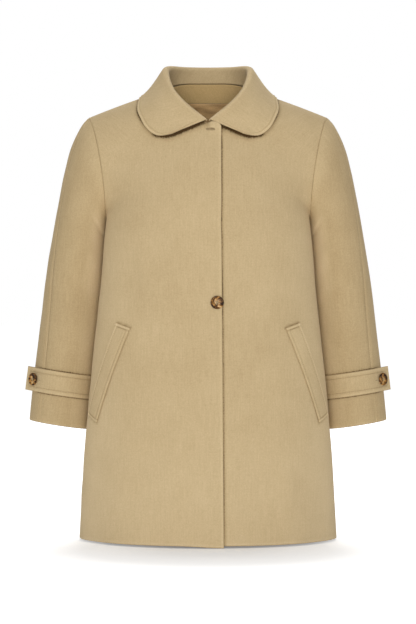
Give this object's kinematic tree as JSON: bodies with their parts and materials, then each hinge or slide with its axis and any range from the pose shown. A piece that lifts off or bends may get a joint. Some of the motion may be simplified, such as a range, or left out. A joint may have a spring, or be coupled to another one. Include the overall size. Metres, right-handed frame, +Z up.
{
  "type": "overcoat",
  "caption": "Short A-line wool overcoat with a rounded turn-down collar, slanted welt pockets and bracelet sleeves with buttoned cuff tabs, filled out as worn and hollow inside.",
  "frame": {"origin": "centre of the neck opening, level with the side neck points, where the wearer's shoulders hold the coat", "axes": "+Z up, the coat faces -Y, and +X is the wearer's left, on the right as seen from the front"},
  "size_m": [0.6436, 0.3323, 0.828],
  "materials": {
    "camel_wool": "brushed wool with a short soft nap, camel beige",
    "brown_lining": "smooth brown lining with a low satin sheen",
    "tortoiseshell_plastic": "dark brown tortoiseshell, polished"
  },
  "bodies": {
    "root": {"front_right": "camel_wool", "front_left": "camel_wool", "back": "camel_wool", "sleeve_front_right": "camel_wool", "sleeve_front_left": "camel_wool", "sleeve_back_right": "camel_wool", "sleeve_back_left": "camel_wool", "collar": "camel_wool", "back_neck_facing": "camel_wool", "back_lining": "brown_lining", "pocket_welt_right": "camel_wool", "pocket_welt_left": "camel_wool", "cuff_tab_right": "camel_wool", "cuff_tab_left": "camel_wool", "button_front": "tortoiseshell_plastic", "button_cuff_right": "tortoiseshell_plastic", "button_cuff_left": "tortoiseshell_plastic"}
  },
  "joints": []
}
